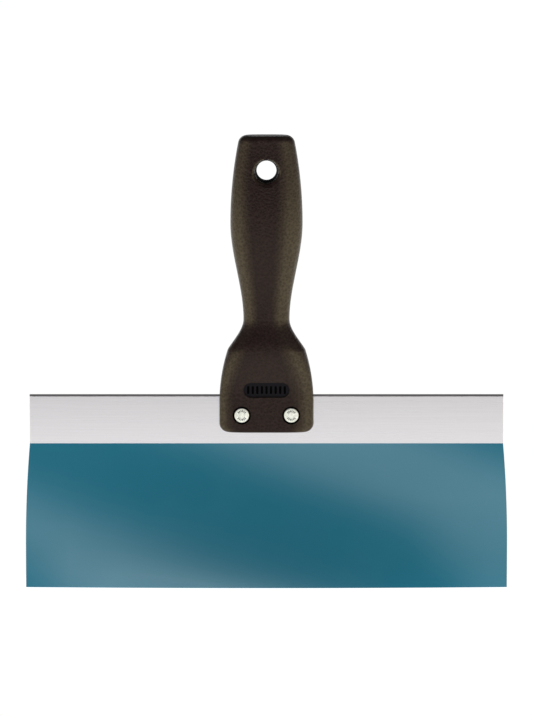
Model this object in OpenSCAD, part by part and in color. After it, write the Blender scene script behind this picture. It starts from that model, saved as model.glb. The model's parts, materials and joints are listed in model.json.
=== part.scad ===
// Drywall taping knife: a wide spring-steel blade in a folded metal backing, with a moulded grip
// riveted over the middle of the backing. Millimetres. +Z runs up the grip, +X along the blade,
// and the front of the knife faces -Y. The origin is the middle of the working edge.

/* [Blade] */
// Length of the working edge
blade_w = 254; // [200:1:360]
// How far the blade stands out of the backing
blade_depth = 76.8; // [50:0.1:110]
// Thickness of the blade steel
blade_t = 0.5; // [0.4:0.1:0.8]
// How far each side of the blade flares out past the end of the backing
blade_flare = 2.4; // [0.5:0.1:5]
// Height of the straight part of each side, above the working edge
blade_corner_h = 22; // [10:1:35]
// How far the middle of the working edge bows forward
blade_bow = 3.5; // [0.5:0.1:6]

/* [Backing] */
// Height of the folded backing
backing_h = 26; // [22:0.5:40]
// Thickness of the backing sheet
backing_sheet = 0.9; // [0.6:0.1:1.2]
// Gap between the backing sheet and each face of the blade
fold_clear = 0.03; // [0.02:0.01:0.1]
// Gap between the top of the blade and the bottom of the fold
fold_room = 0.6; // [0.2:0.1:1.5]

/* [Handle] */
// Length of the handle
handle_len = 156.2; // [130:0.1:190]
// How far the handle reaches down over the backing
handle_lap = 19.7; // [16:0.1:22]
// Width across the foot, where it straddles the backing
foot_w = 49.7; // [44:0.1:62]
// Thickness of the foot at the rivets
foot_t = 13; // [11.5:0.5:16]
// Width across the shoulder
shoulder_w = 40.8; // [36:0.1:48]
// Thickness of the shoulder
shoulder_t = 20; // [17:0.5:25]
// Width across the neck
neck_w = 24.2; // [20:0.1:30]
// Thickness of the neck
neck_t = 16; // [14:0.5:21]
// Greatest width of the grip
grip_w = 37.9; // [32:0.1:46]
// Greatest thickness of the grip
grip_t = 23; // [18:0.5:28]
// Width of the top end, before its corners are rounded
end_w = 28.2; // [22:0.2:34]
// Thickness of the top end
end_t = 18; // [14:0.5:22]
// Height above the bottom of the handle at which its sides start to narrow
foot_h = 15.5; // [12:0.5:17]
// Height at which its front and back start to swell
slope_h = 19.4; // [17.6:0.1:20]
// Height of the middle of the shoulder
shoulder_h = 43.4; // [38:0.1:48]
// Height of the middle of the neck
neck_h = 59.5; // [55:0.5:68]
// Distance from the top of the handle to the widest place of the grip
grip_drop = 45.8; // [38:0.1:50]
// Radius of the two lower corners
foot_corner_r = 4.6; // [3:0.1:8]
// Radius of the two upper corners
end_corner_r = 3.6; // [2:0.2:6]
// Radius of the edge round the top end
end_edge_r = 2.6; // [1:0.2:3.4]
// Radius of the edge round the bottom of the foot
foot_edge_r = 0.8; // [0.4:0.1:1.5]
// Gap between the handle's slot and the backing
slot_clear = 0.08; // [0.05:0.01:0.2]

/* [Hang hole] */
// Radius of the hang hole at its waist
hang_r = 5.2; // [3:0.1:6]
// Distance from the top of the handle to the hang hole
hang_drop = 18.3; // [15:0.1:26]
// Length of the straight waist of the hang hole
hang_waist = 4; // [2:0.5:8]
// How much each mouth of the hang hole is wider than the waist, on the radius
hang_draft = 0.95; // [0.5:0.05:1.5]
// Radius of the rounding at each mouth
hang_lip_r = 2.2; // [1:0.1:2.6]

/* [Nameplate recess] */
// Length of the recess on the front of the shoulder
plate_w = 24.4; // [18:0.5:29]
// Height of the recess
plate_h = 8; // [5:0.1:8.4]
// Depth of the recess
plate_depth = 0.6; // [0.3:0.1:1]
// Height of its centre above the bottom of the handle
plate_z = 22.6; // [20:0.1:25]
// Number of upright grooves in the floor of the recess
groove_count = 9; // [1:1:11]
// Width of each groove
groove_w = 1.1; // [0.6:0.1:1.2]
// Distance from groove to groove
groove_pitch = 2.4; // [1.4:0.1:2.5]
// Height of each groove
groove_h = 4.2; // [2:0.1:4.6]
// Depth of each groove below the floor
groove_depth = 0.4; // [0.2:0.1:0.8]

/* [Rivets] */
// Distance between the two rivets
rivet_pitch = 26; // [22:0.1:32]
// Height of the rivets above the bottom of the handle
rivet_z = 9.2; // [7:0.1:11]
// Radius of each rivet head
head_r = 3.85; // [3:0.05:4.5]
// Thickness of each rivet head
head_t = 1.1; // [0.8:0.1:1.4]
// Radius of the rounding on each rivet head
head_edge_r = 0.3; // [0.1:0.05:0.5]
// How far each head lies below the face of the foot
head_sink = 0.4; // [0.1:0.1:1]
// Gap between a head and the wall of its recess
head_clear = 0.9; // [0.3:0.05:1.1]
// Radius of the hollow half's barrel
barrel_r = 2.2; // [1.8:0.05:2.7]
// Radius of the solid half's shank
shank_r = 1.45; // [1.1:0.05:1.8]
// Gap between the shank and the barrel
shank_clear = 0.02; // [0.01:0.01:0.05]
// Gap between the barrel and the holes that it passes through
rivet_clear = 0.1; // [0.05:0.01:0.2]
// Gap beyond the end of the shank, and beyond the end of the barrel
rivet_end_gap = 0.4; // [0.2:0.1:1]

/* [Hidden] */
$fn = 64;

// Steps across the bowed blade, and down it
blade_steps = 28;
blade_rows = 9;
// Points round one section of the handle, and the distance between sections
ring_points = 40;
ring_pitch = 4;
corner_rings = 5;
// Extra length of a cutting tool where it leaves the material
over = 1;

backing_w = blade_w - 2 * blade_flare;
fold_gap = blade_t + 2 * fold_clear;
backing_t = fold_gap + 2 * backing_sheet;
backing_top = blade_depth + backing_h;
blade_top = backing_top - backing_sheet - fold_room;
handle_z = backing_top - handle_lap;
slot_t = backing_t + 2 * slot_clear;
rivet_xs = [-rivet_pitch / 2, rivet_pitch / 2];
// Radius of the through holes, and where the underside of each head sits
rivet_hole_r = barrel_r + rivet_clear;
seat_y = foot_t / 2 - head_sink - head_t;

// Heights of the handle's stations above its lower end, and the size and squareness of each
grip_h = handle_len - grip_drop;
station_h = [0, slope_h, shoulder_h, neck_h, grip_h, handle_len];
station_t = [foot_t, foot_t, shoulder_t, neck_t, grip_t, end_t];
station_n = [4, 4, 3.2, 2.8, 3, 3.4];

// ---- Curves ----

function mix(a, b, t) = a + (b - a) * t;

// S-curve from 0 to 1, level at both ends
function ease(t) = t * t * (3 - 2 * t);

// Fall, after s, of the arc that leaves its tangent at 0 and has fallen by drop after run
function arc_fall(s, run, drop) = let (r = (run * run + drop * drop) / (2 * drop)) r - sqrt(r * r - s * s);

// Slope of that arc after run
function arc_slope(run, drop) = 2 * run * drop / (run * run - drop * drop);

// How far a corner of radius r has cut in, at a distance d from the end
function corner_cut(d, r) = d >= r ? 0 : r - sqrt(r * r - (r - d) * (r - d));

// Cubic from value a with slope m to value b, level there, over a length l
function settle(t, a, m, b, l) =
    (1 + 2 * t) * (1 - t) * (1 - t) * a + t * (1 - t) * (1 - t) * l * m + t * t * (3 - 2 * t) * b;

// Value at height h, eased from station to station
function at_station(h, values) =
    let (i = max([for (k = [0 : len(station_h) - 2]) if (k == 0 || h >= station_h[k]) k]))
    mix(values[i], values[i + 1], ease((h - station_h[i]) / (station_h[i + 1] - station_h[i])));

// ---- Handle sections, at a height h above the handle's lower end ----

shoulder_drop = (foot_w - shoulder_w) / 2;
shoulder_run = shoulder_h - foot_h;
// How much steeper each side is just above the shoulder than just below it
shoulder_break = 2;

function side_x(h) =
    h <= foot_h ? foot_w / 2
    : h <= shoulder_h ? foot_w / 2 - arc_fall(h - foot_h, shoulder_run, shoulder_drop)
    : h <= neck_h ? settle((h - shoulder_h) / (neck_h - shoulder_h), shoulder_w / 2,
        -shoulder_break * arc_slope(shoulder_run, shoulder_drop), neck_w / 2, neck_h - shoulder_h)
    : h <= grip_h ? mix(neck_w, grip_w, ease((h - neck_h) / (grip_h - neck_h))) / 2
    : grip_w / 2 - arc_fall(h - grip_h, handle_len - grip_h, (grip_w - end_w) / 2);

function half_w(h) = side_x(h) - corner_cut(h, foot_corner_r) - corner_cut(handle_len - h, end_corner_r);

function half_t(h) =
    at_station(h, station_t) / 2 - corner_cut(h, foot_edge_r) - corner_cut(handle_len - h, end_edge_r);

// One point of a superellipse: n = 2 is an ellipse, and a larger n is squarer
function oval_point(a, b, n, angle) = [
    a * sign(cos(angle)) * pow(abs(cos(angle)), 2 / n),
    b * sign(sin(angle)) * pow(abs(sin(angle)), 2 / n)
];

ring_heights = concat(
    [for (i = [0 : corner_rings - 1]) foot_corner_r * (1 - cos(90 * i / corner_rings))],
    let (bottom = foot_corner_r, top = handle_len - end_corner_r, steps = ceil((top - bottom) / ring_pitch))
        [for (i = [0 : steps]) mix(bottom, top, i / steps)],
    [for (i = [1 : corner_rings]) handle_len - end_corner_r * (1 - sin(90 * i / corner_rings))]
);

// Solid between rings of equally many points, listed from the lowest ring up. Each end is closed
// by strips that join the first half of its ring to the second half.
module loft(rings) {
    n = len(rings[0]);
    top = (len(rings) - 1) * n;
    polyhedron(
        points = [for (ring = rings) each ring],
        faces = [
            for (i = [0 : n / 2 - 2]) [i, i + 1, n - 2 - i, n - 1 - i],
            for (k = [0 : n : top - n], i = [0 : n - 1]) let (j = (i + 1) % n)
                each [[k + i, k + n + i, k + n + j], [k + i, k + n + j, k + j]],
            for (i = [0 : n / 2 - 2]) [top + n - 1 - i, top + n - 2 - i, top + i + 1, top + i]
        ],
        convexity = 4
    );
}

module handle_blank() {
    translate([0, 0, handle_z])
        loft([for (h = ring_heights) [for (i = [0 : ring_points - 1])
            let (p = oval_point(half_w(h), half_t(h), at_station(h, station_n), 360 * i / ring_points))
            [p[0], p[1], h]]]);
}

// Hole with a straight waist, drafted walls and a rounded lip at each mouth
module hang_hole_tool(half_depth) {
    lip_y = half_depth - hang_lip_r;
    mouth_r = hang_r + hang_draft;
    rotate([90, 0, 0]) {
        cylinder(h = 2 * half_depth, r = hang_r, center = true);
        for (side = [0, 1]) mirror([0, 0, side])
            rotate_extrude() {
                polygon([[0, hang_waist / 2], [hang_r, hang_waist / 2], [mouth_r, lip_y],
                    [mouth_r, half_depth + over], [0, half_depth + over]]);
                translate([mouth_r, lip_y]) difference() {
                    square([hang_lip_r, hang_lip_r + over]);
                    translate([hang_lip_r, 0]) circle(r = hang_lip_r);
                }
            }
    }
}

// Recess with round ends and a row of grooves, its floor parallel to the sloping face around it
module plate_tool() {
    rise = plate_h / 4;
    slope = atan((half_t(plate_z + rise) - half_t(plate_z - rise)) / (2 * rise));
    end_x = (plate_w - plate_h) / 2;
    cut_h = plate_depth + 2 * over;
    groove_x0 = -(groove_count - 1) * groove_pitch / 2;
    translate([0, -half_t(plate_z), handle_z + plate_z]) rotate([90 + slope, 0, 0])
        translate([0, 0, -plate_depth]) {
            for (x = [-end_x, end_x]) translate([x, 0, 0]) cylinder(h = cut_h, r = plate_h / 2);
            translate([-end_x, -plate_h / 2, 0]) cube([2 * end_x, plate_h, cut_h]);
            for (i = [0 : groove_count - 1])
                translate([groove_x0 + i * groove_pitch - groove_w / 2, -groove_h / 2, -groove_depth])
                    cube([groove_w, groove_h, groove_depth + over]);
        }
}

// Cylinder along Y from y0 to y1, on the axis of the rivet at x
module cross_cylinder(x, r, y0, y1) {
    translate([x, y0, handle_z + rivet_z]) rotate([-90, 0, 0]) cylinder(h = y1 - y0, r = r);
}

// ---- Sub-parts ----

// Half the blade's width at height z: its sides flare in an arc and stand straight near the edge
function blade_half_w(z) =
    z <= blade_corner_h ? blade_w / 2
    : z >= blade_depth ? backing_w / 2
    : blade_w / 2 - arc_fall(z - blade_corner_h, blade_depth - blade_corner_h, blade_flare);

// How fast the bow dies away up the blade: 1 is a straight fall, and more is a hollow one
bow_power = 1.5;

// How far the blade stands forward at share u of its half width and at height z
function bow_y(u, z) = z >= blade_depth ? 0 : -blade_bow * pow(1 - z / blade_depth, bow_power) * (1 - u * u);

module blade() {
    zs = concat([for (k = [0 : blade_rows]) blade_depth * k / blade_rows], [blade_top]);
    shares = [for (i = [0 : blade_steps]) 2 * i / blade_steps - 1];
    color([0.14, 0.38, 0.46]) difference() {
        loft([for (z = zs) concat(
            [for (i = [blade_steps : -1 : 0]) let (u = shares[i])
                [u * blade_half_w(z), bow_y(u, z) + blade_t / 2, z]],
            [for (i = [0 : blade_steps]) let (u = shares[i])
                [u * blade_half_w(z), bow_y(u, z) - blade_t / 2, z]]
        )]);
        for (x = rivet_xs) cross_cylinder(x, rivet_hole_r, -blade_t, blade_t);
    }
}

module backing() {
    fold_z = backing_top - backing_t / 2;
    color([0.83, 0.82, 0.83]) difference() {
        translate([-backing_w / 2, 0, 0]) rotate([90, 0, 90]) linear_extrude(backing_w) difference() {
            union() {
                translate([-backing_t / 2, blade_depth]) square([backing_t, fold_z - blade_depth]);
                translate([0, fold_z]) circle(r = backing_t / 2);
            }
            translate([-fold_gap / 2, blade_depth - over]) square([fold_gap, fold_z - blade_depth + over]);
            translate([0, fold_z]) circle(r = fold_gap / 2);
        }
        for (x = rivet_xs) cross_cylinder(x, rivet_hole_r, -backing_t, backing_t);
    }
}

module handle() {
    color([0.17, 0.15, 0.14]) difference() {
        handle_blank();
        translate([-foot_w, -slot_t / 2, handle_z - over])
            cube([2 * foot_w, slot_t, handle_lap + over + slot_clear]);
        translate([0, 0, handle_z + handle_len - hang_drop]) hang_hole_tool(half_t(handle_len - hang_drop));
        plate_tool();
        for (x = rivet_xs) {
            cross_cylinder(x, rivet_hole_r, -foot_t, foot_t);
            cross_cylinder(x, head_r + head_clear, -foot_t, -seat_y);
            cross_cylinder(x, head_r + head_clear, seat_y, foot_t);
        }
    }
}

// Head and stem of a rivet half, turned about Y: the head's underside is at seat_y and faces -Y
module rivet_half(x, stem_r, stem_len) {
    translate([x, seat_y, handle_z + rivet_z]) rotate([-90, 0, 0]) {
        rotate_extrude() {
            square([head_r, head_t - head_edge_r]);
            square([head_r - head_edge_r, head_t]);
            translate([head_r - head_edge_r, head_t - head_edge_r]) circle(r = head_edge_r);
        }
        translate([0, 0, -stem_len]) cylinder(h = stem_len, r = stem_r);
    }
}

// Solid half: its head is at the front, and its shank runs back into the hollow half
module rivet(x) {
    shank_len = 2 * seat_y - rivet_end_gap;
    color([0.9, 0.9, 0.88]) mirror([0, 1, 0]) rivet_half(x, shank_r, shank_len);
}

// Hollow half: its head is at the back, and its barrel runs forward through every layer
module rivet_cap(x) {
    barrel_len = 2 * seat_y - rivet_end_gap;
    color([0.88, 0.88, 0.86]) difference() {
        rivet_half(x, barrel_r, barrel_len);
        cross_cylinder(x, shank_r + shank_clear, -seat_y, seat_y);
    }
}

blade();
backing();
handle();
rivet(rivet_xs[0]);  // rivet_left
rivet(rivet_xs[1]);  // rivet_right
rivet_cap(rivet_xs[0]);  // rivet_cap_left
rivet_cap(rivet_xs[1]);  // rivet_cap_right
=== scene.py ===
"""Drywall taping knife: the visible meshes, their finishes and the studio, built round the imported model.

Every size is in millimetres until a mesh is written, which is in metres. +Z runs up the grip, +X
along the blade, and the front of the knife faces -Y.
"""

import json
import logging
import math
from dataclasses import dataclass, field
from enum import Enum

import bpy
import numpy as np
from mathutils import Matrix, Vector


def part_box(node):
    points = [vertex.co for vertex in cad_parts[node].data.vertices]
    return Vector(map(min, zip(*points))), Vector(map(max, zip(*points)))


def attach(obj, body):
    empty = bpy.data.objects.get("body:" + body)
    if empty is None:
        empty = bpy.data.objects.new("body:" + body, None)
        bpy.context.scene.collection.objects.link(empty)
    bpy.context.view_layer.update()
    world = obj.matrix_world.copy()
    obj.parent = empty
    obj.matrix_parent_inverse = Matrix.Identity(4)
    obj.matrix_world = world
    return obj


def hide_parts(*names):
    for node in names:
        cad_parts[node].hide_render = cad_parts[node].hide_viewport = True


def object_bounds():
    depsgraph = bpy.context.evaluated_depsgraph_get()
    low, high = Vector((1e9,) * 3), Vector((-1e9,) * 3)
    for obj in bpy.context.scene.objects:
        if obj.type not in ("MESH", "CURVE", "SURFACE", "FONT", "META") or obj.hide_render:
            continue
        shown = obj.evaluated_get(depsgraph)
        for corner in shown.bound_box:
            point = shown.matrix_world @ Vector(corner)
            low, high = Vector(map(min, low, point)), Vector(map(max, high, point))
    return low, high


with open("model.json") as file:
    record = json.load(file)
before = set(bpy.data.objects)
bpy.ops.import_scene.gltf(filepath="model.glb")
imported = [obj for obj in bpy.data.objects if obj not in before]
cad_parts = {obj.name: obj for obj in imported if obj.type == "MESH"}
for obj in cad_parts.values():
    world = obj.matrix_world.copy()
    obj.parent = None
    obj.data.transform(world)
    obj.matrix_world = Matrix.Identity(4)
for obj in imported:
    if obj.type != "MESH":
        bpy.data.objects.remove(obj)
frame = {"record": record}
cad_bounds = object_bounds()

LOG = logging.getLogger("taping_knife")
MM = 0.001
ROOT = "root"

Point = tuple[float, float, float]
Outline = list[tuple[float, float]]
Solid = tuple[list[Point], list[tuple[int, ...]]]
Socket = bpy.types.NodeSocket


class Slot(Enum):
    """The record's material slots."""

    BLADE = "blade_steel"
    BACKING = "backing_metal"
    GRIP = "grip_plastic"
    RIVET = "rivet_metal"


class Side(Enum):
    """Which of the two rivets, as the sign of its place along X."""

    LEFT = -1
    RIGHT = 1


class Facing(Enum):
    """Which way a rivet half's head looks, as the sign of its place along Y."""

    FRONT = -1
    BACK = 1


# ---- Curves ----


def mix(a: float, b: float, t: float) -> float:
    """Value at share t of the way from a to b."""
    return a + (b - a) * t


def ease(t: float) -> float:
    """S-curve from 0 to 1, level at both ends."""
    return t * t * (3 - 2 * t)


def arc_fall(s: float, run: float, drop: float) -> float:
    """Fall along an arc that starts level.

    Args:
        s: Distance from the arc's level end.
        run: Distance over which the arc falls by drop.
        drop: Its fall after run.

    Returns:
        Its fall after s.
    """
    r = (run * run + drop * drop) / (2 * drop)
    return r - math.sqrt(r * r - s * s)


def arc_slope(run: float, drop: float) -> float:
    """Slope, after run, of the arc that has fallen by drop."""
    return 2 * run * drop / (run * run - drop * drop)


def corner_cut(d: float, r: float) -> float:
    """How far a corner of radius r has cut in, at a distance d from the end."""
    return 0.0 if d >= r else r - math.sqrt(r * r - (r - d) ** 2)


def settle(t: float, a: float, m: float, b: float, length: float) -> float:
    """Cubic that leaves a with a slope and arrives level at b.

    Args:
        t: Share of the way along.
        a: Value at the start.
        m: Slope at the start.
        b: Value at the end.
        length: Distance from start to end.

    Returns:
        The value at t.
    """
    u = 1 - t
    return (1 + 2 * t) * u * u * a + t * u * u * length * m + t * t * (3 - 2 * t) * b


# ---- Meshes ----


def mm_box(node: str) -> tuple[Vector, Vector]:
    """Lowest and highest corners of a CAD node, in millimetres."""
    low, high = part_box(node)
    return low / MM, high / MM


def make_object(name: str, solid: Solid, finish: bpy.types.Material | None = None) -> bpy.types.Object:
    """Mesh object from a solid in millimetres.

    Args:
        name: Name of the object and of its mesh.
        solid: Its points and faces. Each face is counterclockwise seen from outside.
        finish: Its finish, if it has one yet.

    Returns:
        The object, in the scene, at the origin.
    """
    points, faces = solid
    mesh = bpy.data.meshes.new(name)
    mesh.from_pydata([[c * MM for c in p] for p in points], [], faces)
    mesh.update()
    if finish:
        mesh.materials.append(finish)
    obj = bpy.data.objects.new(name, mesh)
    bpy.context.scene.collection.objects.link(obj)
    return obj


def mirrored_ring(quarter: Outline) -> Outline:
    """Whole outline from its first quarter, which runs from the X axis to the Y axis."""
    upper = quarter + [(-x, y) for x, y in reversed(quarter[:-1])]
    lower = [(x, -y) for x, y in reversed(upper[1:-1])]
    return upper + lower


def loft(rings: list[list[Point]]) -> Solid:
    """Closed skin over rings of equally many points.

    Args:
        rings: Rings in order, each counterclockwise seen from where they lead. Each starts at
            one tip and has its other tip half way round, and its two sides match point by point.

    Returns:
        Its points and faces. Strips across the two end rings close it.
    """
    n = len(rings[0])
    points = [p for ring in rings for p in ring]
    top = len(points) - n
    faces: list[tuple[int, ...]] = []
    for k in range(0, top, n):
        for i in range(n):
            j = (i + 1) % n
            faces.append((k + i, k + j, k + n + j, k + n + i))
    for i in range(n // 2):
        corners = tuple(dict.fromkeys((i, i + 1, n - 1 - i, (n - i) % n)))
        faces.append(tuple(reversed(corners)))
        faces.append(tuple(top + c for c in corners))
    return points, faces


def lathe(profile: Outline, steps: int = 96) -> Solid:
    """Solid of revolution about Y.

    Args:
        profile: Pairs (y, radius), from the end with the lowest y, with both ends on the axis.
        steps: Number of steps round it.

    Returns:
        Its points and faces.
    """
    turns = [math.tau * i / steps for i in range(steps)]
    points: list[Point] = [(0.0, profile[0][0], 0.0)]
    for y, r in profile[1:-1]:
        points += [(r * math.cos(a), y, -r * math.sin(a)) for a in turns]
    points.append((0.0, profile[-1][0], 0.0))
    last = len(points) - 1
    faces: list[tuple[int, ...]] = []
    for i in range(steps):
        j = (i + 1) % steps
        faces.append((0, 1 + j, 1 + i))
        for k in range(1, last - steps, steps):
            faces.append((k + i, k + j, k + steps + j, k + steps + i))
        faces.append((last, last - steps + i, last - steps + j))
    return points, faces


def stadium(half_length: float, radius: float, steps: int = 16) -> Outline:
    """Outline with two round ends, along X.

    Args:
        half_length: Distance from the middle to the centre of each round end.
        radius: Radius of the round ends.
        steps: Steps in a quarter turn.

    Returns:
        Its points from the right tip, counterclockwise.
    """
    turns = [math.pi / 2 * i / steps for i in range(steps + 1)]
    quarter = [(half_length + radius * math.cos(a), radius * math.sin(a)) for a in turns]
    if half_length > 0:
        quarter.append((0.0, radius))
    return mirrored_ring(quarter)


def joined(parts: list[Solid]) -> Solid:
    """Several separate solids as one."""
    points: list[Point] = []
    faces: list[tuple[int, ...]] = []
    for more_points, more_faces in parts:
        faces += [tuple(c + len(points) for c in f) for f in more_faces]
        points += more_points
    return points, faces


def moved(solid: Solid, place: Matrix) -> Solid:
    """The solid with its points carried by a matrix."""
    points, faces = solid
    return [tuple(place @ Vector(p)) for p in points], faces


def cut_away(obj: bpy.types.Object, solid: Solid, finish: bpy.types.Material | None = None) -> None:
    """Takes a solid out of a mesh object.

    Args:
        obj: The mesh object, which already has its own finish.
        solid: What is taken out of it.
        finish: Finish of the cut faces, or None for the object's own.
    """
    tool = make_object("tool", solid, finish or obj.data.materials[0])
    cut = obj.modifiers.new("cut", "BOOLEAN")
    cut.operation = "DIFFERENCE"
    cut.solver = "EXACT"
    cut.material_mode = "TRANSFER"
    cut.object = tool
    bpy.context.view_layer.update()
    whole = obj.evaluated_get(bpy.context.evaluated_depsgraph_get())
    mesh = bpy.data.meshes.new_from_object(whole)
    obj.modifiers.clear()
    spare = obj.data
    obj.data = mesh
    bpy.data.meshes.remove(spare)
    mesh.name = obj.name
    bpy.data.objects.remove(tool)


def shade(obj: bpy.types.Object, sharp_degrees: float) -> None:
    """Smooth shading that stays crisp at edges sharper than an angle."""
    mesh = obj.data
    mesh.polygons.foreach_set("use_smooth", [True] * len(mesh.polygons))
    mesh.set_sharp_from_angle(angle=math.radians(sharp_degrees))
    mesh.update()


def install(obj: bpy.types.Object, slot: Slot, *nodes: str) -> None:
    """Ties a finished piece to the frame.

    Args:
        obj: The piece.
        slot: The record's slot for its finish; not used.
        nodes: The CAD nodes that it stands for.
    """
    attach(obj, ROOT)
    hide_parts(*nodes)
    LOG.info("%s: %d faces, stands for %s", obj.name, len(obj.data.polygons), ", ".join(nodes))


# ---- Finishes ----


def linear(red: float, green: float, blue: float) -> tuple[float, float, float, float]:
    """Linear colour, with alpha, from display values from 0 to 255."""
    values = [c / 255 for c in (red, green, blue)]
    curve = [v / 12.92 if v <= 0.04045 else ((v + 0.055) / 1.055) ** 2.4 for v in values]
    return (*curve, 1.0)


class Graph:
    """A tree of shading nodes, with short ways to add and join them."""

    def __init__(self, tree: bpy.types.NodeTree) -> None:
        """Works on a tree.

        Args:
            tree: The node tree of a material or a world.
        """
        self.tree = tree

    def add(self, kind: str, **settings: object) -> bpy.types.Node:
        """New node of a kind, with its settings."""
        node = self.tree.nodes.new(kind)
        for key, value in settings.items():
            setattr(node, key, value)
        return node

    def join(self, source: object, target: Socket) -> None:
        """Links a socket, or sets a plain value, into another socket."""
        if isinstance(source, Socket):
            self.tree.links.new(source, target)
        else:
            target.default_value = source

    def math(self, operation: str, *values: object) -> Socket:
        """Result of a maths node on up to three sockets or numbers."""
        node = self.add("ShaderNodeMath", operation=operation)
        for value, target in zip(values, node.inputs):
            self.join(value, target)
        return node.outputs[0]

    def split(self, vector: object) -> list[Socket]:
        """The three parts of a vector."""
        node = self.add("ShaderNodeSeparateXYZ")
        self.join(vector, node.inputs[0])
        return list(node.outputs)

    def span(self, value: object, low: float, high: float, to_low: float, to_high: float) -> Socket:
        """Value carried from one range to another, and held within it."""
        node = self.add("ShaderNodeMapRange")
        for source, key in ((value, 0), (low, 1), (high, 2), (to_low, 3), (to_high, 4)):
            self.join(source, node.inputs[key])
        return node.outputs[0]

    def blend(self, share: object, first: object, second: object) -> Socket:
        """Colour between two, at a share."""
        node = self.add("ShaderNodeMix", data_type="RGBA")
        self.join(share, node.inputs[0])
        self.join(first, node.inputs[6])
        self.join(second, node.inputs[7])
        return node.outputs[2]


class Coat(Graph):
    """A material, with its shader and the textures that follow the piece's own metres."""

    def __init__(self, name: str) -> None:
        """Starts a material with only its shader.

        Args:
            name: Name of the material.
        """
        self.material = bpy.data.materials.new(name)
        self.material.use_nodes = True
        super().__init__(self.material.node_tree)
        self.shader = next(n for n in self.tree.nodes if n.type == "BSDF_PRINCIPLED")
        self.place = self.add("ShaderNodeTexCoord").outputs["Object"]

    def stretch(self, x: float, y: float, z: float) -> Socket:
        """Place on the piece, in metres, times a number along each axis."""
        node = self.add("ShaderNodeVectorMath", operation="MULTIPLY")
        self.join(self.place, node.inputs[0])
        node.inputs[1].default_value = (x, y, z)
        return node.outputs[0]

    def noise(self, place: object, scale: float, detail: float = 2.0, rough: float = 0.5) -> Socket:
        """Soft noise from 0 to 1."""
        node = self.add("ShaderNodeTexNoise")
        self.join(place, node.inputs["Vector"])
        node.inputs["Scale"].default_value = scale
        node.inputs["Detail"].default_value = detail
        node.inputs["Roughness"].default_value = rough
        return node.outputs["Fac"]

    def cells(self, place: object, scale: float, smooth: float) -> Socket:
        """Distance from the middle of rounded cells."""
        node = self.add("ShaderNodeTexVoronoi", feature="SMOOTH_F1")
        self.join(place, node.inputs["Vector"])
        node.inputs["Scale"].default_value = scale
        node.inputs["Smoothness"].default_value = smooth
        return node.outputs["Distance"]

    def bump(self, height: object, depth: float) -> Socket:
        """Normal of a relief.

        Args:
            height: Relief from 0 to 1.
            depth: Height of the relief, in metres.

        Returns:
            The normal.
        """
        node = self.add("ShaderNodeBump")
        self.join(height, node.inputs["Height"])
        node.inputs["Distance"].default_value = depth
        node.inputs["Strength"].default_value = 1.0
        return node.outputs["Normal"]

    def set(self, **values: object) -> None:
        """Sets or links the shader's sockets, named with _ for each space."""
        for key, value in values.items():
            self.join(value, self.shader.inputs[key.replace("_", " ")])


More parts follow.
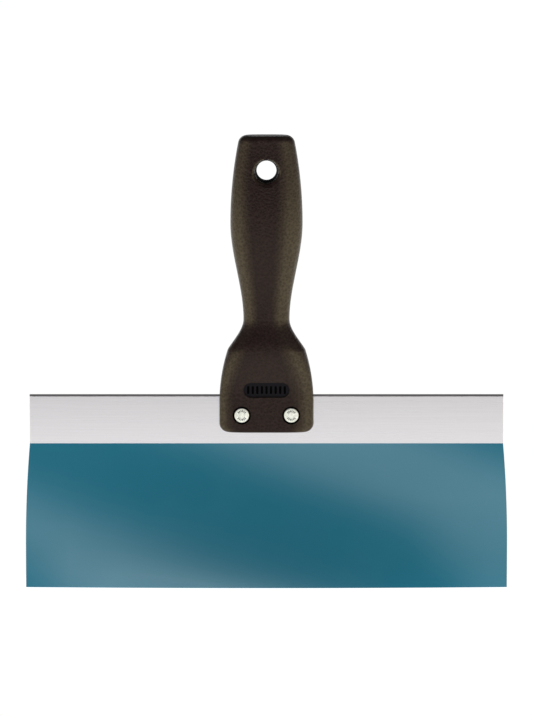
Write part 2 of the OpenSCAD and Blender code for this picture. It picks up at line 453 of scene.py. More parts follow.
@dataclass(frozen=True)
class BluedSteelPaintedReflection:
    """Blued spring steel: two pale bands of painted reflection cross a deeper blue, over fine rolling
    lines.

    The bands are counted along the direction (lean_x, lean_z) in the plane of the blade, in
    millimetres, and the lower one is drawn out where it nears the right corner.
    """

    deep: tuple = linear(40, 117, 141)
    # The lighter blue of the painted reflection bands.
    pale: tuple = linear(108, 155, 174)
    lean_x: float = 0.358
    lean_z: float = 0.934
    low_crest: float = -18.5
    low_width: float = 22.4
    low_power: float = 2.0
    high_crest: float = 84.0
    high_width: float = 25.4
    high_power: float = 2.8
    low_share: float = 0.7
    high_share: float = 0.67
    foot_gain: float = 0.8
    foot_z: float = 25.0
    corner_x: float = 64.0
    corner_z: float = 45.0
    corner_pull: float = 0.6
    low_fade: float = 0.4
    high_fade: float = 0.34
    fade_x: tuple[float, float] = (-104.0, -127.0)
    fade_z: tuple[float, float] = (48.0, 2.0)
    metallic: float = 0.9
    roughness: float = 0.34

    @staticmethod
    def reflection_band(g: Coat, s: object, centre: float, width: float, power: float) -> Socket:
        """Band of painted reflection that is 1 along its middle and fades out on both sides."""
        away = g.math("ABSOLUTE", g.math("SUBTRACT", s, centre))
        share = g.math("POWER", g.math("DIVIDE", away, width), power)
        return g.math("EXPONENT", g.math("MULTIPLY", share, -1.0))

    def make(self) -> bpy.types.Material:
        """The finish as a material."""
        g = Coat("blued_steel_painted_reflection")
        x, _, z = g.split(g.stretch(1 / MM, 1 / MM, 1 / MM))
        s = g.math("ADD", g.math("MULTIPLY", x, self.lean_x), g.math("MULTIPLY", z, self.lean_z))
        past = g.math("MAXIMUM", g.math("SUBTRACT", x, self.corner_x), 0.0)
        low = g.math("MAXIMUM", g.math("SUBTRACT", 1.0, g.math("DIVIDE", z, self.corner_z)), 0.0)
        s = g.math("ADD", s, g.math("MULTIPLY", g.math("MULTIPLY", past, low), self.corner_pull))
        # Two bands of painted reflection, each strongest along its middle line.
        first = self.reflection_band(g, s, self.low_crest, self.low_width, self.low_power)
        second = self.reflection_band(g, s, self.high_crest, self.high_width, self.high_power)
        sink = g.span(z, *self.fade_z, 0.0, 1.0)
        left = g.math("MULTIPLY", sink, g.span(x, *self.fade_x, 0.0, self.low_fade))
        foot = g.math("POWER", g.span(z, self.foot_z, 0.0, 0.0, 1.0), 2.0)
        lift = g.math("ADD", g.math("MULTIPLY", foot, self.foot_gain), 1.0)
        left = g.math("MULTIPLY", lift, g.math("SUBTRACT", self.low_share, left))
        first = g.math("MULTIPLY", first, left)
        right = g.math("SUBTRACT", self.high_share, g.math("MULTIPLY", sink, self.high_fade))
        tone = g.math("ADD", first, g.math("MULTIPLY", second, right))
        cloud = g.noise(g.place, 35.0, 3.0)
        tone = g.math("ADD", tone, g.span(cloud, 0.3, 0.7, -0.02, 0.02))
        lines = g.noise(g.stretch(40.0, 900.0, 2600.0), 1.0, 3.0, 0.6)
        color = g.blend(tone, self.deep, self.pale)
        g.set(
            Base_Color=color,
            Metallic=self.metallic,
            Roughness=g.span(lines, 0.3, 0.7, self.roughness - 0.03, self.roughness + 0.04),
            Normal=g.bump(lines, 0.004 * MM),
        )
        return g.material


@dataclass(frozen=True)
class BrushedSheet:
    """Bright sheet metal brushed along its length."""

    color: tuple = linear(246, 244, 247)
    roughness: float = 0.3

    def make(self) -> bpy.types.Material:
        """The finish as a material."""
        g = Coat("brushed_sheet")
        fine = g.noise(g.stretch(18.0, 2600.0, 4200.0), 1.0, 4.0, 0.65)
        broad = g.noise(g.stretch(6.0, 300.0, 520.0), 1.0, 2.0)
        streak = g.math("ADD", g.math("MULTIPLY", fine, 0.7), g.math("MULTIPLY", broad, 0.3))
        shade_color = tuple(c * 0.9 for c in self.color[:3]) + (1.0,)
        g.set(
            Base_Color=g.blend(g.span(streak, 0.35, 0.65, 0.0, 1.0), shade_color, self.color),
            Metallic=1.0,
            Roughness=g.span(streak, 0.3, 0.7, self.roughness - 0.05, self.roughness + 0.06),
            Normal=g.bump(fine, 0.006 * MM),
        )
        return g.material


@dataclass(frozen=True)
class GrainedNylon:
    """Dark brown moulded nylon with a fine leather grain, and a paler painted side light on its flanks.

    Flanks are the surfaces that face sideways. Each pair of shares gives how far the surface has to
    face right, left or up before the painted light starts, and where it is full or has faded.
    """

    color: tuple = linear(42, 31, 33)
    painted_flank_light: tuple = linear(78, 70, 58)
    flank_right: tuple[float, float] = (0.04, 0.24)
    flank_left: tuple[float, float] = (0.11, 0.4)
    flank_up: tuple[float, float] = (0.0, 0.2)
    flank_top: float = 0.15
    sheen: tuple = linear(255, 241, 206)
    grain: float = 1.25
    grain_depth: float = 0.2
    grain_tone: tuple[float, float] = (0.72, 1.28)
    roughness: float = 0.3
    specular: float = 0.2

    def make(self) -> bpy.types.Material:
        """The finish as a material."""
        g = Coat("grained_nylon_painted_flank_light")
        drift = g.noise(g.place, 900.0, 2.0)
        sway = g.add("ShaderNodeVectorMath", operation="MULTIPLY_ADD")
        g.join(drift, sway.inputs[0])
        sway.inputs[1].default_value = (0.0004, 0.0004, 0.0004)
        g.join(g.place, sway.inputs[2])
        pebble = g.cells(sway.outputs[0], 1 / (self.grain * MM), 0.35)
        fine = g.noise(g.place, 2400.0, 3.0, 0.6)
        relief = g.math("ADD", g.math("MULTIPLY", pebble, 0.75), g.math("MULTIPLY", fine, 0.35))
        # Painted side light: a paler tone where the surface faces right or left, less where it faces up.
        x, _, z = g.split(g.add("ShaderNodeTexCoord").outputs["Normal"])
        right = g.span(x, *self.flank_right, 0.0, 1.0)
        left = g.span(g.math("MULTIPLY", x, -1.0), *self.flank_left, 0.0, 1.0)
        level = g.span(z, *self.flank_up, 1.0, self.flank_top)
        share = g.math("MULTIPLY", g.math("ADD", right, left), level)
        tone = g.add("ShaderNodeVectorMath", operation="SCALE")
        g.join(g.blend(share, self.color, self.painted_flank_light), tone.inputs[0])
        g.join(g.span(relief, 0.3, 0.75, *self.grain_tone), tone.inputs["Scale"])
        g.set(
            Base_Color=tone.outputs[0],
            Roughness=g.span(fine, 0.3, 0.7, self.roughness - 0.05, self.roughness + 0.08),
            Specular_IOR_Level=self.specular,
            Specular_Tint=self.sheen,
            Normal=g.bump(relief, self.grain_depth * MM),
        )
        return g.material


@dataclass(frozen=True)
class PlatedRivet:
    """Bright nickel plate, a little satin from the press."""

    color: tuple = linear(251, 253, 240)
    roughness: float = 0.24

    def make(self) -> bpy.types.Material:
        """The finish as a material."""
        g = Coat("plated_rivet")
        tarnish = g.noise(g.place, 700.0, 3.0)
        satin = g.noise(g.place, 6000.0, 2.0)
        dull = tuple(c * 0.84 for c in self.color[:3]) + (1.0,)
        g.set(
            Base_Color=g.blend(g.span(tarnish, 0.35, 0.65, 0.0, 1.0), dull, self.color),
            Metallic=1.0,
            Roughness=g.span(satin, 0.3, 0.7, self.roughness - 0.05, self.roughness + 0.07),
            Normal=g.bump(satin, 0.004 * MM),
        )
        return g.material


@dataclass(frozen=True)
class PlainFinish:
    """Even, almost black finish of recessed places, painted shade in some of them."""

    name: str
    color: tuple
    roughness: float
    specular: float

    def make(self) -> bpy.types.Material:
        """The finish as a material."""
        g = Coat(self.name)
        cloud = g.noise(g.place, 1500.0, 3.0)
        shade_color = tuple(c * 0.8 for c in self.color[:3]) + (1.0,)
        g.set(
            Base_Color=g.blend(g.span(cloud, 0.3, 0.7, 0.0, 1.0), shade_color, self.color),
            Roughness=g.span(cloud, 0.3, 0.7, self.roughness - 0.04, self.roughness + 0.04),
            Specular_IOR_Level=self.specular,
        )
        return g.material


@dataclass
class Looks:
    """The finish of every surface."""

    blade: bpy.types.Material = field(default_factory=lambda: BluedSteelPaintedReflection().make())
    backing: bpy.types.Material = field(default_factory=lambda: BrushedSheet().make())
    grip: bpy.types.Material = field(default_factory=lambda: GrainedNylon().make())
    rivet: bpy.types.Material = field(default_factory=lambda: PlatedRivet().make())
    inside: bpy.types.Material = field(
        default_factory=lambda: PlainFinish("plain_nylon", linear(22, 20, 25), 0.5, 0.1).make()
    )
    # Near-black nylon: painted shade on the wall of the hang hole and in the rivet recesses, and the black
    # of the badge's grooves.
    deep: bpy.types.Material = field(
        default_factory=lambda: PlainFinish("deep_nylon_painted_shade", linear(5, 4, 6), 0.65, 0.03).make()
    )
    # Dark grey of the stamped marks on the rivet heads: painted shade in them.
    mark: bpy.types.Material = field(
        default_factory=lambda: PlainFinish("rivet_mark_painted_shade", linear(28, 27, 23), 0.5, 0.1).make()
    )


# ---- Pieces ----


@dataclass
class RivetHalf:
    """One half of a compression rivet: the solid half in front, or the hollow one at the back."""

    side: Side
    facing: Facing
    head_t: float = 1.1
    rim_r: float = 0.3
    crown: float = 0.06
    stem_break: float = 0.15
    bore_gap: float = 0.02
    marks: int = 6
    mark_w: float = 0.38
    mark_h: float = 1.15
    mark_r: float = 2.3
    mark_depth: float = 0.25
    mark_spread: float = 100.0
    low: Vector = field(init=False)
    high: Vector = field(init=False)

    def __post_init__(self) -> None:
        """Takes its place from the frame."""
        self.low, self.high = mm_box(self.node)

    @property
    def node(self) -> str:
        """Name of its CAD node."""
        kind = "rivet" if self.facing is Facing.FRONT else "rivet_cap"
        return f"{kind}_{self.side.name.lower()}"

    @property
    def axis(self) -> Matrix:
        """Turn and place of its axis, for a shape made about Y with its head at the low end."""
        middle = (self.low + self.high) / 2
        turn = 0.0 if self.facing is Facing.FRONT else math.pi
        return Matrix.Translation((middle.x, 0, middle.z)) @ Matrix.Rotation(turn, 4, "Z")

    @property
    def head_r(self) -> float:
        """Radius of its head."""
        return (self.high.x - self.low.x) / 2

    @property
    def face_y(self) -> float:
        """Distance of the head's face from the middle plane."""
        return max(-self.low.y, self.high.y)

    @property
    def seat_y(self) -> float:
        """Distance of the head's underside from the middle plane."""
        return self.face_y - self.head_t

    @property
    def stem_end(self) -> float:
        """Distance of the stem's far end from the middle plane."""
        return min(-self.low.y, self.high.y)

    def drill(self, r: float, half_depth: float) -> Solid:
        """Round tool on the rivet's axis."""
        profile = [(-half_depth, 0.0), (-half_depth, r), (half_depth, r), (half_depth, 0.0)]
        return moved(lathe(profile), self.axis)

    def head_profile(self) -> Outline:
        """Outline of the head as (y, radius), from the middle of its face to its underside."""
        face, rim = -self.face_y, self.rim_r
        flat_r = self.head_r - rim
        crown = [(face + self.crown * share * share, flat_r * share) for share in (0.0, 0.25, 0.5, 0.75)]
        turns = [math.pi / 2 * i / 6 for i in range(7)]
        rounded = [
            (face + rim - (rim - self.crown) * math.cos(a), flat_r + rim * math.sin(a)) for a in turns
        ]
        return [*crown, *rounded, (-self.seat_y, self.head_r)]

    def mark_tools(self) -> Solid:
        """Short radial slots in two arcs, one in the upper half of the face and one in the lower."""
        tools = []
        for arc in (90.0, 270.0):
            for i in range(self.marks):
                lean = mix(-self.mark_spread / 2, self.mark_spread / 2, i / (self.marks - 1))
                turn = Matrix.Rotation(math.radians(arc + lean), 4, "Y")
                half = self.mark_w / 2
                bar = stadium(self.mark_h / 2 - half, half, 4)
                rings = [[(x, y, z) for x, y in bar] for z in (-self.mark_depth, self.mark_depth)]
                stand = Matrix.Translation((0, -self.face_y, 0)) @ Matrix.Rotation(math.pi / 2, 4, "X")
                tools.append(moved(loft(rings), turn @ Matrix.Translation((self.mark_r, 0, 0)) @ stand))
        return moved(joined(tools), self.axis)

    def build(self, looks: Looks, stem_r: float, bore_r: float = 0.0) -> bpy.types.Object:
        """The rivet half, with its marked head.

        Args:
            looks: The finishes.
            stem_r: Radius of its shank or barrel.
            bore_r: Radius of the bore in its barrel, or 0 for a solid shank.

        Returns:
            The piece.
        """
        seat, end, b = -self.seat_y, self.stem_end, self.stem_break
        stem = [(seat, stem_r), (end - b, stem_r), (end, stem_r - b)]
        inside = [(end, bore_r), (seat, bore_r), (seat, 0.0)] if bore_r else [(end, 0.0)]
        solid = lathe([*self.head_profile(), *stem, *inside])
        obj = make_object(f"{self.node}_piece", moved(solid, self.axis), looks.rivet)
        # The stamped marks are filled with painted shade.
        cut_away(obj, self.mark_tools(), looks.mark)
        shade(obj, 30.0)
        return obj


@dataclass
class Blade:
    """The spring-steel blade, which bows forward towards its working edge."""

    backing_half_w: float
    depth: float
    thickness: float = 0.5
    corner_h: float = 22.0
    bow_power: float = 1.5
    edge_break: float = 0.07
    columns: int = 120
    rows: int = 64
    low: Vector = field(init=False)
    high: Vector = field(init=False)

    def __post_init__(self) -> None:
        """Takes its place from the frame."""
        self.low, self.high = mm_box("blade")

    @property
    def bow(self) -> float:
        """How far the middle of the working edge stands forward."""
        return -self.low.y - self.thickness / 2

    def half_w(self, z: float) -> float:
        """Half the width at a height."""
        if z <= self.corner_h:
            return self.high.x
        if z >= self.depth:
            return self.backing_half_w
        flare = self.high.x - self.backing_half_w
        return self.high.x - arc_fall(z - self.corner_h, self.depth - self.corner_h, flare)

    def bow_y(self, u: float, z: float) -> float:
        """Place of the middle of the sheet, at share u of the half width."""
        if z >= self.depth:
            return 0.0
        return -self.bow * (1 - z / self.depth) ** self.bow_power * (1 - u * u)

    def ring(self, z: float, inset: float) -> list[Point]:
        """Section at a height, drawn in by inset on every side, from its right tip."""
        b = self.edge_break
        half_t = self.thickness / 2 - inset
        half_w = self.half_w(z) - inset
        shares = [1 - 2 * i / self.columns for i in range(self.columns + 1)]
        line = [(u * (half_w - b), self.bow_y(u, z)) for u in shares]
        back = [(x, y + half_t, z) for x, y in line]
        front = [(x, y - half_t, z) for x, y in reversed(line)]
        right = [(half_w, y, z) for y in (0.0, half_t - b, b - half_t)]
        left = [(-x, -y, z) for x, y, z in right]
        return [right[0], right[1], *back, left[2], left[0], left[1], *front, right[2]]

    def heights(self) -> list[tuple[float, float]]:
        """Height and inset of each section, from the working edge up."""
        top, b = self.high.z, self.edge_break
        body = [mix(b, self.depth, i / self.rows) for i in range(self.rows + 1)]
        return [(0.0, b), *((z, 0.0) for z in body), (top - b, 0.0), (top, b)]

    def build(self, looks: Looks, rivets: list[RivetHalf], hole_r: float) -> bpy.types.Object:
        """The blade with its two rivet holes.

        Args:
            looks: The finishes.
            rivets: The rivets that pass through it.
            hole_r: Radius of the holes.

        Returns:
            The piece.
        """
        rings = [self.ring(z, inset) for z, inset in self.heights()]
        obj = make_object("blade_sheet", loft(rings), looks.blade)
        cut_away(obj, joined([rivet.drill(hole_r, 2 * self.thickness) for rivet in rivets]))
        shade(obj, 25.0)
        return obj


@dataclass
class Backing:
    """The strip of sheet metal folded over the top of the blade."""

    sheet: float = 0.9
    edge_break: float = 0.12
    bend_steps: int = 24
    columns: int = 60
    low: Vector = field(init=False)
    high: Vector = field(init=False)

    def __post_init__(self) -> None:
        """Takes its place from the frame."""
        self.low, self.high = mm_box("backing")

    def section(self, x: float, inset: float) -> list[Point]:
        """Folded section at x, drawn in by inset, from the middle of its rear lip."""
        b = self.edge_break
        outer = self.high.y - inset
        inner = self.high.y - self.sheet + inset
        fold_z = self.high.z - self.high.y
        foot = self.low.z + inset
        turns = [math.pi * i / self.bend_steps for i in range(self.bend_steps + 1)]
        outside = [(outer * math.cos(a), fold_z + outer * math.sin(a)) for a in turns]
        inside = [(inner * math.cos(a), fold_z + inner * math.sin(a)) for a in reversed(turns)]
        middle = (outer + inner) / 2
        outline = [
            (middle, foot), (outer - b, foot), (outer, foot + b), *outside,
            (-outer, foot + b), (b - outer, foot), (-middle, foot), (-inner - b, foot),
            (-inner, foot + b), *inside, (inner, foot + b), (inner + b, foot),
        ]
        return [(x, y, z) for y, z in outline]

    def build(self, looks: Looks, rivets: list[RivetHalf], hole_r: float) -> bpy.types.Object:
        """The folded strip with its rivet holes.

        Args:
            looks: The finishes.
            rivets: The rivets that pass through it.
            hole_r: Radius of the holes.

        Returns:
            The piece.
        """
        b, end = self.edge_break, self.high.x
        inner = [mix(b - end, end - b, i / self.columns) for i in range(self.columns + 1)]
        rings = [self.section(-end, b), *(self.section(x, 0.0) for x in inner), self.section(end, b)]
        obj = make_object("backing_strip", loft(rings), looks.backing)
        cut_away(obj, joined([rivet.drill(hole_r, 2 * self.high.y) for rivet in rivets]))
        shade(obj, 30.0)
        return obj


@dataclass
class Handle:
    """The moulded grip: a foot that straddles the backing, a shoulder, a neck and a full grip."""

    foot_t: float = 13.0
    shoulder_w: float = 40.8
    shoulder_t: float = 20.0
    neck_w: float = 24.2
    neck_t: float = 16.0
    grip_w: float = 37.9
    end_w: float = 28.2
    end_t: float = 18.0
    foot_h: float = 15.5
    slope_h: float = 19.4
    shoulder_h: float = 43.4
    neck_h: float = 59.5
    grip_drop: float = 45.8
    shoulder_break: float = 2.0
    foot_corner_r: float = 4.6
    foot_edge_r: float = 0.8
    end_corner_r: float = 3.6
    end_edge_r: float = 2.6
    squareness: tuple[float, ...] = (4.0, 4.0, 3.2, 2.8, 3.0, 3.4)
    ring_pitch: float = 0.75
    quarter_steps: int = 48
    outline_steps: int = 600
    hole_steps: int = 128
    hole_skin: float = 0.03
    parting_w: float = 0.3
    parting_depth: float = 0.1
    hole_draft: float = 0.95
    hole_lip_r: float = 2.2
    plate_w: float = 24.4
    plate_h: float = 8.0
    plate_depth: float = 0.6
    plate_z: float = 22.6
    plate_draft: float = 0.25
    groove_count: int = 9
    groove_w: float = 1.1
    groove_pitch: float = 2.4
    groove_h: float = 4.2
    groove_depth: float = 0.4
    slot_clear: float = 0.08
    head_clear: float = 0.9
    over: float = 1.0
    low: Vector = field(init=False)
    high: Vector = field(init=False)

    def __post_init__(self) -> None:
        """Takes its place and its overall sizes from the frame."""
        self.low, self.high = mm_box("handle")

    @property
    def length(self) -> float:
        """Height from the bottom of the foot to the top end."""
        return self.high.z - self.low.z

    @property
    def grip_h(self) -> float:
        """Height of the widest place of the grip above the bottom of the foot."""
        return self.length - self.grip_drop

    def side_x(self, h: float) -> float:
        """Half the width at height h, before the corners are rounded."""
        foot, drop = self.high.x, self.high.x - self.shoulder_w / 2
        run = self.shoulder_h - self.foot_h
        if h <= self.foot_h:
            return foot
        if h <= self.shoulder_h:
            return foot - arc_fall(h - self.foot_h, run, drop)
        if h <= self.neck_h:
            rise = self.neck_h - self.shoulder_h
            slope = -self.shoulder_break * arc_slope(run, drop)
            share = (h - self.shoulder_h) / rise
            return settle(share, self.shoulder_w / 2, slope, self.neck_w / 2, rise)
        if h <= self.grip_h:
            share = (h - self.neck_h) / (self.grip_h - self.neck_h)
            return mix(self.neck_w, self.grip_w, ease(share)) / 2
        narrowing = (self.grip_w - self.end_w) / 2
        return self.grip_w / 2 - arc_fall(h - self.grip_h, self.grip_drop, narrowing)

    def at_station(self, h: float, values: tuple[float, ...]) -> float:
        """Value at height h, eased from station to station."""
        stations = (0.0, self.slope_h, self.shoulder_h, self.neck_h, self.grip_h, self.length)
        k = max(i for i in range(len(stations) - 1) if i == 0 or h >= stations[i])
        share = (h - stations[k]) / (stations[k + 1] - stations[k])
        return mix(values[k], values[k + 1], ease(share))

    def half_w(self, h: float) -> float:
        """Half the width at height h."""
        cut = corner_cut(h, self.foot_corner_r) + corner_cut(self.length - h, self.end_corner_r)
        return self.side_x(h) - cut

    def half_t(self, h: float) -> float:
        """Half the thickness at height h."""
        grip_t = 2 * self.high.y
        values = (self.foot_t, self.foot_t, self.shoulder_t, self.neck_t, grip_t, self.end_t)
        cut = corner_cut(h, self.foot_edge_r) + corner_cut(self.length - h, self.end_edge_r)
        return self.at_station(h, values) / 2 - cut

    def ring(self, h: float) -> list[Point]:
        """Section at height h: a squared oval with the mould's parting line down both sides."""
        a, b, n = self.half_w(h), self.half_t(h), self.at_station(h, self.squareness)
        n_steps = self.outline_steps
        turn = np.array([math.pi / 2 * ease(i / n_steps) for i in range(n_steps + 1)])
        x = a * np.cos(turn).clip(0, 1) ** (2 / n)
        y = b * np.sin(turn).clip(0, 1) ** (2 / n)
        run = np.concatenate([[0.0], np.cumsum(np.hypot(np.diff(x), np.diff(y)))])
        first = self.parting_w / 2
        places = [0.0, first / 2, *np.linspace(first, run[-1], self.quarter_steps - 1)]
        quarter = [(float(np.interp(s, run, x)), float(np.interp(s, run, y))) for s in places]
        quarter[0] = (quarter[0][0] - self.parting_depth, 0.0)
        quarter[-1] = (0.0, b)
        return [(px, py, self.low.z + h) for px, py in mirrored_ring(quarter)]

    def ring_heights(self) -> list[float]:
        """Heights of the sections, close together where the corners and edges turn."""
        foot = [self.foot_edge_r * (1 - math.cos(math.pi / 2 * i / 8)) for i in range(8)]
        start, end = self.foot_edge_r, self.foot_corner_r
        foot += [mix(start, end, (i / 12) ** 1.5) for i in range(12)]
        stop = self.length - self.end_corner_r
        steps = math.ceil((stop - end) / self.ring_pitch)
        body = [mix(end, stop, i / steps) for i in range(steps)]
        top = [self.length - self.end_corner_r * (1 - math.sin(math.pi / 2 * i / 16)) for i in range(17)]
        return foot + body + top

    def hole_tool(self, z: float, waist_r: float, waist: float) -> Solid:
        """Tool for the hang hole: a straight waist, drafted walls and rounded lips.

        Args:
            z: Height of its axis.
            waist_r: Radius of the waist.
            waist: Length of the waist.

        Returns:
            The tool.
        """
        half = self.half_t(z - self.low.z)
        mouth_r = waist_r + self.hole_draft
        lip = self.hole_lip_r
        turns = [math.pi / 2 * i / 14 for i in range(15)]
        rounded = [
            (half - lip + lip * math.sin(a), mouth_r + lip * (1 - math.cos(a))) for a in turns
        ]
        out = half + self.over
        rear = [(waist / 2, waist_r), *rounded, (out, mouth_r + lip), (out, 0.0)]
        front = [(-y, r) for y, r in reversed(rear)]
        return moved(lathe([*front, *rear], self.hole_steps), Matrix.Translation((0, 0, z)))

    def wall_shade_tool(self, z: float, waist_r: float, waist: float) -> Solid:
        """Tool that gives the wall of the hang hole its painted shade, up to where its lips start."""
        lip_y = self.half_t(z - self.low.z) - self.hole_lip_r
        rear = [(waist / 2, waist_r), (lip_y, waist_r + self.hole_draft), (lip_y, 0.0)]
        front = [(-y, r) for y, r in reversed(rear)]
        return moved(lathe([*front, *rear], self.hole_steps), Matrix.Translation((0, 0, z)))

    def plate_place(self) -> Matrix:
        """Place of the recess: its own Z points out of the sloping face, and its own Y up it."""
        rise = self.plate_h / 4
        out = self.half_t(self.plate_z + rise) - self.half_t(self.plate_z - rise)
        lean = math.atan(out / (2 * rise))
        spot = (0.0, -self.half_t(self.plate_z), self.low.z + self.plate_z)
        return Matrix.Translation(spot) @ Matrix.Rotation(math.pi / 2 + lean, 4, "X")

    def pocket(self, length: float, width: float, floor: float, top: float) -> Solid:
        """Tool with round ends and drafted walls, between two heights over the recess."""
        half = (length - width) / 2
        rings = []
        for z in (floor, top):
            r = width / 2 + self.plate_draft * (z - floor) / (top - floor) - self.plate_draft / 2
            rings.append([(x, y, z) for x, y in stadium(half, r)])
        return loft(rings)

    def groove_tools(self) -> Solid:
        """Upright grooves in the floor of the recess."""
        quarter_turn = Matrix.Rotation(math.pi / 2, 4, "Z")
        floor = -self.plate_depth
        groove = self.pocket(self.groove_h, self.groove_w, floor - self.groove_depth, floor + 0.2)
        first = -(self.groove_count - 1) * self.groove_pitch / 2
        return joined([
            moved(groove, Matrix.Translation((first + i * self.groove_pitch, 0, 0)) @ quarter_turn)
            for i in range(self.groove_count)
        ])

    def rivet_tool(self, rivet: RivetHalf, hole_r: float) -> Solid:
        """Tool for a rivet's hole and the round recess that each of its heads sits in."""
        head_r, seat, out = rivet.head_r + self.head_clear, rivet.seat_y, self.foot_t
        profile = [(-out, 0.0), (-out, head_r), (-seat, head_r), (-seat, hole_r)]
        profile += [(-y, r) for y, r in reversed(profile)]
        return moved(lathe(profile), rivet.axis)

    def slot_tool(self, backing: Backing) -> Solid:
        """Tool for the slot that straddles the backing."""
        half = backing.high.y + self.slot_clear
        top = backing.high.z + self.slot_clear
        wide = 2 * self.high.x
        corners = [(wide, 0.0), (wide, half), (-wide, half), (-wide, 0.0), (-wide, -half), (wide, -half)]
        return loft([[(x, y, z) for x, y in corners] for z in (self.low.z - self.over, top)])

    def build(
        self, looks: Looks, backing: Backing, rivets: list[RivetHalf], hole_r: float, hang: dict
    ) -> bpy.types.Object:
        """The grip with all its openings.

        Args:
            looks: The finishes.
            backing: The folded strip that it straddles.
            rivets: The rivets that pass through it.
            hole_r: Radius of the rivet holes.
            hang: The record's mount for the hang hole.

        Returns:
            The piece.
        """
        obj = make_object("handle_grip", loft([self.ring(h) for h in self.ring_heights()]), looks.grip)
        z, dims = hang["pos_m"][2] / MM, hang["dims"]
        hang_r, waist = dims["r_mm"], dims["length_mm"]
        cut_away(obj, self.hole_tool(z, hang_r - self.hole_skin, waist))
        # Painted shade on the wall of the hang hole.
        cut_away(obj, self.wall_shade_tool(z, hang_r, waist), looks.deep)
        cut_away(obj, self.slot_tool(backing), looks.inside)
        place = self.plate_place()
        plate = self.pocket(self.plate_w, self.plate_h, -self.plate_depth, self.over)
        cut_away(obj, moved(plate, place), looks.inside)
        cut_away(obj, moved(self.groove_tools(), place), looks.deep)
        # Painted shade in the rivet holes and the recesses round the heads.
        cut_away(obj, joined([self.rivet_tool(rivet, hole_r) for rivet in rivets]), looks.deep)
        shade(obj, 34.0)
        return obj


# ---- Studio ----


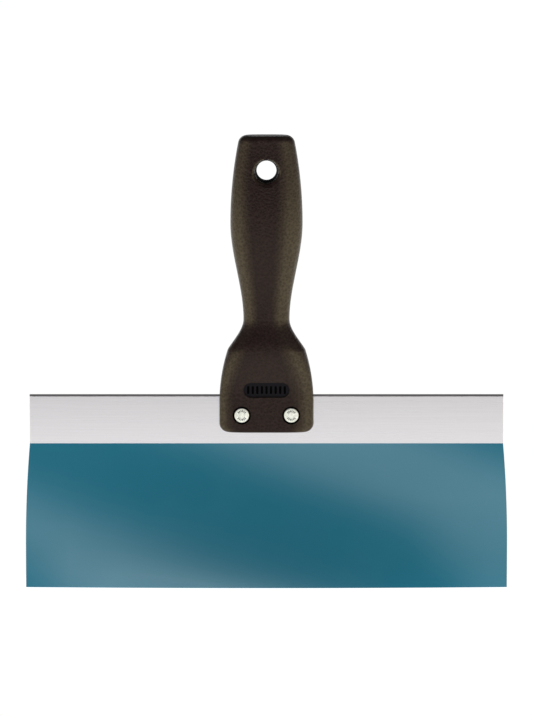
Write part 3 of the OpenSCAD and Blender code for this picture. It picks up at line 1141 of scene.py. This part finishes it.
@dataclass
class Studio:
    """A small pale floor under a plain soft surround.

    The surround is bright below the horizon and at both sides, and dim above and in front. A start
    is a pair of angles in degrees from the front, or of heights from -1 straight down to 1 straight
    up, between which one tone gives way to the next.
    """

    azimuth: float = 0.0
    elevation: float = 7.0
    distance: float = 2800.0
    focal: float = 267.8
    aim_x: float = 0.0
    aim_z: float = 121.95
    floor_half: tuple[float, float] = (140.0, 40.0)
    floor_drop: float = 0.05
    floor_glow: float = 1.0
    floor_mottle: float = 0.005
    front_tone: tuple = (0.03, 0.03, 0.035)
    ground_tone: float = 1.0
    depth_tone: float = 1.15
    depth_start: tuple[float, float] = (-0.24, -0.47)
    wall_tone: tuple = (1.25, 1.17, 1.0)
    rear_tone: tuple = (0.9, 0.9, 0.9)
    right_start: tuple[float, float] = (11.0, 22.0)
    left_start: tuple[float, float] = (26.0, 40.0)
    rear_start: tuple[float, float] = (92.0, 130.0)
    crown_start: tuple[float, float] = (0.4, 0.85)
    crown_tone: float = 0.13
    roof_start: tuple[float, float] = (0.0, 0.35)
    roof_share: float = 0.04
    cellar_start: tuple[float, float] = (-0.3, -0.5)
    seen_tone: tuple = (1.02, 1.02, 1.02)

    def place_camera(self) -> None:
        """Camera on a long lens, a little above the level of the knife."""
        lens = bpy.data.cameras.new("camera")
        lens.lens = self.focal
        lens.sensor_width = 36.0
        lens.clip_start = 0.05
        lens.clip_end = 100.0
        camera = bpy.data.objects.new("camera", lens)
        bpy.context.scene.collection.objects.link(camera)
        turn, rise = math.radians(self.azimuth), math.radians(self.elevation)
        out = Vector((math.sin(turn) * math.cos(rise), -math.cos(turn) * math.cos(rise), math.sin(rise)))
        aim = Vector((self.aim_x, 0.0, self.aim_z))
        camera.location = (aim + out * self.distance) * MM
        camera.rotation_euler = (-out).to_track_quat("-Z", "Y").to_euler()
        bpy.context.scene.camera = camera

    def lay_floor(self, z: float) -> None:
        """Pale glowing floor under the knife."""
        x, y = self.floor_half
        points = [(-x, -y, z), (x, -y, z), (x, y, z), (-x, y, z)]
        floor = make_object("floor", (points, [(0, 1, 2, 3)]))
        coat = Coat("pale_floor")
        mottle = coat.noise(coat.place, 3.0)
        dim, bright = (self.floor_glow * (1 + sign * self.floor_mottle) for sign in (-1, 1))
        glow = coat.span(mottle, 0.0, 1.0, dim, bright)
        coat.set(
            Base_Color=(0.9, 0.9, 0.9, 1.0),
            Roughness=0.8,
            Specular_IOR_Level=0.0,
            Emission_Color=(1.0, 1.0, 1.0, 1.0),
            Emission_Strength=glow,
        )
        floor.data.materials.append(coat.material)

    def light(self) -> None:
        """Surround that lights the knife, behind which the camera sees plain white."""
        world = bpy.data.worlds.new("surround")
        bpy.context.scene.world = world
        world.use_nodes = True
        g = Graph(world.node_tree)
        x, y, z = g.split(g.add("ShaderNodeTexCoord").outputs["Generated"])
        turn = g.math("ARCTAN2", x, g.math("MULTIPLY", y, -1.0))
        right = self.step(g, turn, *self.right_start)
        left = self.step(g, g.math("MULTIPLY", turn, -1.0), *self.left_start)
        rear = self.step(g, g.math("ABSOLUTE", turn), *self.rear_start)
        roof = g.span(z, *self.roof_start, 1.0, self.roof_share)
        air = g.blend(rear, (*self.front_tone, 1.0), (*self.rear_tone, 1.0))
        air = g.blend(roof, g.span(z, *self.crown_start, 0.0, self.crown_tone), air)
        ground = g.span(z, *self.depth_start, self.ground_tone, self.depth_tone)
        plain = g.blend(g.math("LESS_THAN", z, 0.0), air, ground)
        side = g.math("MULTIPLY", g.math("MAXIMUM", right, left), g.math("SUBTRACT", 1.0, rear))
        side = g.math("MULTIPLY", side, roof)
        side = g.math("MULTIPLY", side, g.span(z, *self.cellar_start, 1.0, 0.0))
        lit = g.blend(side, plain, (*self.wall_tone, 1.0))
        seen = g.add("ShaderNodeLightPath").outputs["Is Camera Ray"]
        shown = g.blend(seen, lit, (*self.seen_tone, 1.0))
        g.join(shown, g.tree.nodes["Background"].inputs["Color"])

    @staticmethod
    def step(g: Graph, turn: object, start: float, end: float) -> Socket:
        """Soft step from 0 to 1 between two angles, in degrees."""
        return g.span(turn, math.radians(start), math.radians(end), 0.0, 1.0)

    def build(self) -> None:
        """Camera, floor and light."""
        self.place_camera()
        self.lay_floor(cad_bounds[0][2] / MM - self.floor_drop)
        self.light()
        bpy.context.scene.view_settings.view_transform = "Standard"
        LOG.info("studio: camera %.0f mm away at %.0f degrees", self.distance, self.elevation)


@dataclass
class Fasteners:
    """The two rivets, each a solid half and a hollow half, and the holes that they need."""

    shank_r: float = 1.45
    shank_gap: float = 0.02
    barrel_r: float = 2.2
    hole_gap: float = 0.1

    @property
    def hole_r(self) -> float:
        """Radius of the holes through the handle, the backing and the blade."""
        return self.barrel_r + self.hole_gap

    def halves(self, facing: Facing) -> list[RivetHalf]:
        """The left and right halves that face one way."""
        return [RivetHalf(side, facing) for side in Side]

    def build(self, looks: Looks) -> None:
        """All four rivet halves, each tied to the frame.

        Args:
            looks: The finishes.
        """
        for rivet in self.halves(Facing.FRONT):
            install(rivet.build(looks, self.shank_r), Slot.RIVET, rivet.node)
        for rivet in self.halves(Facing.BACK):
            half = rivet.build(looks, self.barrel_r, self.shank_r + self.shank_gap)
            install(half, Slot.RIVET, rivet.node)


def mount(name: str) -> dict:
    """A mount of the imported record, by name."""
    return next(m for m in frame["record"]["mounts"] if m["name"] == name)


def main() -> None:
    """Builds the knife piece by piece, then the studio."""
    looks = Looks()
    fasteners = Fasteners()
    rivets = fasteners.halves(Facing.FRONT)
    backing = Backing()
    blade = Blade(backing_half_w=backing.high.x, depth=backing.low.z)

    install(blade.build(looks, rivets, fasteners.hole_r), Slot.BLADE, "blade")
    install(backing.build(looks, rivets, fasteners.hole_r), Slot.BACKING, "backing")
    grip = Handle().build(looks, backing, rivets, fasteners.hole_r, mount("hang_hole"))
    install(grip, Slot.GRIP, "handle")
    fasteners.build(looks)
    Studio().build()


if __name__ == "__main__":
    logging.basicConfig(level=logging.INFO, format="%(name)s: %(message)s")
    main()
